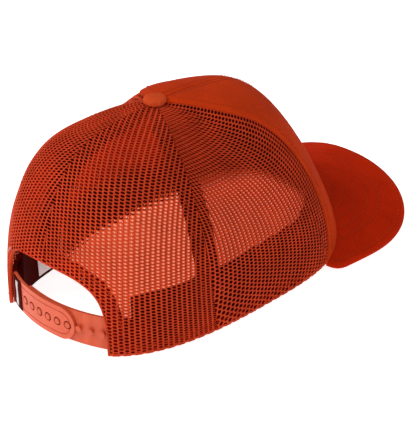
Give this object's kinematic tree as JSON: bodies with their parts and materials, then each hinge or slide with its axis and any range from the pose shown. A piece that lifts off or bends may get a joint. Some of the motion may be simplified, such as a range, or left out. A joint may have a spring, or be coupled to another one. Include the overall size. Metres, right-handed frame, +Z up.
{
  "type": "trucker mesh cap",
  "caption": "Baseball-style cap with closed front panels, open mesh side and rear panels, a curved bill and a two-piece snap strap across a rear opening.",
  "frame": {"origin": "on the surface the cap stands on, under the middle of its length and width", "axes": "+Z up; the bill points to -Y, the rear opening faces +Y, the wearer's right is -X"},
  "size_m": [0.148, 0.2574, 0.123],
  "materials": {
    "front_fabric": "plain twill, orange-red, matt with a soft sheen",
    "visor_fabric": "plain twill over a board, orange-red, matt",
    "button_fabric": "twill stretched over a domed button",
    "mesh": "open polyester knit with small six-sided holes",
    "mesh_hem": "two layers of the same knit, folded and sewn",
    "seam_tape": "plain woven tape",
    "lining": "stiffened open-weave backing and folded seam edges",
    "sweatband_cloth": "brushed twill",
    "foam": "soft foam strip inside the sweatband",
    "care_label": "white satin ribbon, blank",
    "loop_label": "dark red woven ribbon, with a plain stripe only",
    "thread": "polyester sewing thread",
    "rivet_metal": "bright stamped sheet",
    "board": "moulded sheet, hidden by its covers",
    "strap": "soft moulded plastic, salmon orange, satin"
  },
  "bodies": {
    "cap": {"front_panel_left": "front_fabric", "front_panel_right": "front_fabric", "front_lining_left": "lining", "front_lining_right": "lining", "mesh_side_left": "mesh", "mesh_side_right": "mesh", "mesh_rear_left": "mesh", "mesh_rear_right": "mesh", "tape_front_centre": "seam_tape", "tape_front_side_left": "seam_tape", "tape_front_side_right": "seam_tape", "tape_side_rear_left": "seam_tape", "tape_side_rear_right": "seam_tape", "tape_rear_centre": "seam_tape", "rim_hem_left": "mesh_hem", "rim_hem_right": "mesh_hem", "arch_binding": "mesh_hem", "rim_welt": "lining", "sweatband": "sweatband_cloth", "sweatband_pad": "foam", "care_label": "care_label", "button_cap": "button_fabric", "button_rivet": "rivet_metal", "visor_board": "board", "visor_top_cover": "visor_fabric", "visor_bottom_cover": "visor_fabric", "visor_edge_seam": "visor_fabric", "visor_stitching": "thread", "hole_strap_anchor": "strap", "post_strap_anchor": "strap"},
    "hole_strap": {"hole_strap": "strap", "loop_label": "loop_label"},
    "post_strap": {"post_strap": "strap"}
  },
  "joints": [
    {"name": "hole_strap_swing", "type": "hinge", "parent": "cap", "child": "hole_strap", "pos_m": [0.041, 0.11849, 0.0115], "axis": [0, 0, -1], "range_deg": [0, 60], "stiffness_Nm_per_rad": 0.01},
    {"name": "post_strap_swing", "type": "hinge", "parent": "cap", "child": "post_strap", "pos_m": [-0.04522, 0.1124, 0.0115], "axis": [0, 0, -1], "range_deg": [0, 30], "stiffness_Nm_per_rad": 0.01}
  ]
}
